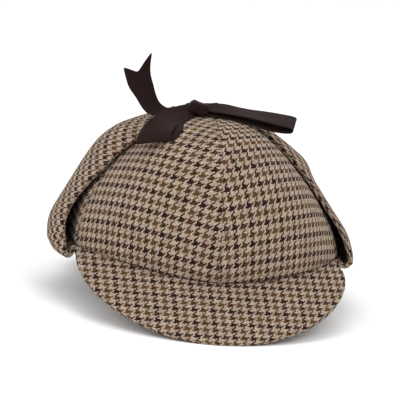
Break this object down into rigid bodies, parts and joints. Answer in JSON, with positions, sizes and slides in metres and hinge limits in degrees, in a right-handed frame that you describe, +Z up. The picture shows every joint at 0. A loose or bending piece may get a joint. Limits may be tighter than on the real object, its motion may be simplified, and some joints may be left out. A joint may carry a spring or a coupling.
{
  "type": "deerstalker hat",
  "caption": "Deerstalker hat in brown and cream houndstooth tweed, with front and rear peaks and ear flaps tied up over the crown in a dark ribbon bow.",
  "frame": {"origin": "under the middle of the hat's width and length, on the surface that the peaks' edges stand on", "axes": "+Z up, -Y towards the front peak, +X towards the wearer's left"},
  "size_m": [0.1934, 0.279, 0.1559],
  "materials": {
    "tweed": "woven wool houndstooth, matte",
    "ribbon": "grosgrain ribbon with a low sheen"
  },
  "bodies": {
    "root": {"crown_panel_front_left": "tweed", "crown_panel_front_right": "tweed", "crown_panel_side_left": "tweed", "crown_panel_side_right": "tweed", "crown_panel_rear_left": "tweed", "crown_panel_rear_right": "tweed", "front_peak": "tweed", "rear_peak": "tweed", "ear_flap_left": "tweed", "ear_flap_right": "tweed", "bow_knot": "ribbon", "bow_loop_left": "ribbon", "bow_loop_right": "ribbon", "bow_tail_left": "ribbon", "bow_tail_right": "ribbon", "tie_lead_left": "ribbon", "tie_lead_right": "ribbon"}
  },
  "joints": []
}
